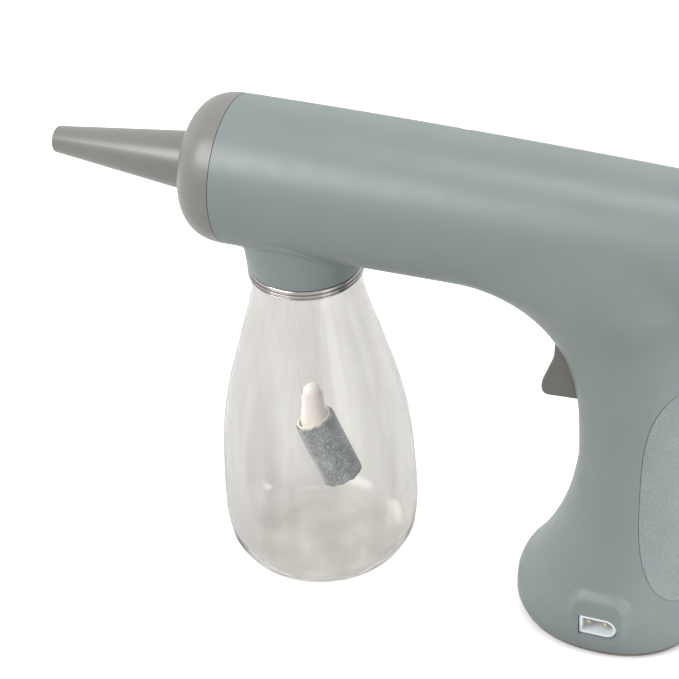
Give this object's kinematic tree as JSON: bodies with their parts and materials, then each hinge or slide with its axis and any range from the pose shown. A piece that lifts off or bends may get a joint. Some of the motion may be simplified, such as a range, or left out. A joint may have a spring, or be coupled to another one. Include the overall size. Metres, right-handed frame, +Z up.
{
  "type": "atomising spray gun",
  "caption": "Cordless pistol-grip mist sprayer: fan barrel with a tapered nozzle, sprung trigger, grip pad, power inlet and a clear screw-on bottle.",
  "frame": {"origin": "centre of the handle's flat base, on the surface the gun stands on", "axes": "+X towards the rear of the barrel, the nozzle sprays along -X; +Z up; the power inlet faces -Y"},
  "size_m": [0.3249, 0.0878, 0.23],
  "materials": {
    "shell": "fine satin moulded",
    "nose": "satin",
    "nozzle": "satin",
    "trigger": "satin",
    "pad": "fine grain",
    "rim": "matt",
    "white": "satin",
    "silver": "polished",
    "steel": "machined",
    "brass": "plated",
    "clear": "clear, polished",
    "hose": "translucent",
    "sleeve": "felted",
    "foam": "open-cell foam",
    "rubber": "matt",
    "black": "moulded",
    "board": "solder mask",
    "cell": "wrapped in film"
  },
  "bodies": {
    "bottle": {"bottle": "clear"},
    "ring": {"lock_ring": "silver"},
    "gun": {"housing_left": "shell", "housing_right": "shell", "grip_pad": "pad", "base_cover": "rim", "nose_cap": "nose", "atomiser_tip": "steel", "air_duct": "black", "fan_shroud": "black", "motor": "steel", "motor_mount": "black", "rear_cap": "shell", "intake_filter": "foam", "trigger_pin": "steel", "trigger_spring": "steel", "micro_switch": "black", "battery_cell_1": "cell", "battery_cell_2": "cell", "battery_holder": "black", "main_board": "board", "power_inlet": "white", "inlet_pin_1": "brass", "inlet_pin_2": "brass", "bottle_collar": "shell", "bottle_seal": "rubber", "suction_barb": "white", "suction_hose": "hose", "filter_core": "white", "suction_filter": "sleeve", "liquid_pump": "black", "pump_inlet_hose": "hose", "pump_outlet_hose": "hose", "housing_screw_1": "steel", "housing_screw_2": "steel", "housing_screw_3": "steel", "housing_screw_4": "steel", "housing_screw_5": "steel", "housing_screw_6": "steel", "housing_screw_7": "steel", "housing_screw_8": "steel", "base_screw_1": "steel", "base_screw_2": "steel", "base_screw_3": "steel", "base_screw_4": "steel"},
    "nozzle_body": {"nozzle": "nozzle"},
    "trigger_body": {"trigger": "trigger"},
    "plunger": {"switch_plunger": "white"},
    "rotor": {"impeller": "black", "motor_shaft": "steel"}
  },
  "joints": [
    {"name": "ring_turn", "type": "hinge", "parent": "bottle", "child": "ring", "pos_m": [-0.138, 0, 0.1555], "axis": [0, 0, 1], "range_deg": [0, 60]},
    {"name": "gun_lift", "type": "slide", "parent": "ring", "child": "gun", "axis": [0, 0, 1], "range_m": [0, 0.165]},
    {"name": "nozzle_turn", "type": "hinge", "parent": "gun", "child": "nozzle_body", "pos_m": [-0.19, 0, 0.198], "axis": [1, 0, 0], "range_deg": [0, 90]},
    {"name": "trigger_pull", "type": "hinge", "parent": "gun", "child": "trigger_body", "pos_m": [-0.017, 0, 0.149], "axis": [0, -1, 0], "range_deg": [0, 11], "stiffness_Nm_per_rad": 0.5, "springref_deg": -8.59},
    {"name": "switch_press", "type": "slide", "parent": "gun", "child": "plunger", "axis": [1, 0, 0], "range_m": [0, 0.0019]},
    {"name": "impeller_spin", "type": "hinge", "parent": "gun", "child": "rotor", "pos_m": [0.02, 0, 0.196], "axis": [1, 0, 0], "continuous": true}
  ],
  "couplings": [
    {"joint": "switch_press", "follows": "trigger_pull", "m_per_rad": 0.0098}
  ]
}
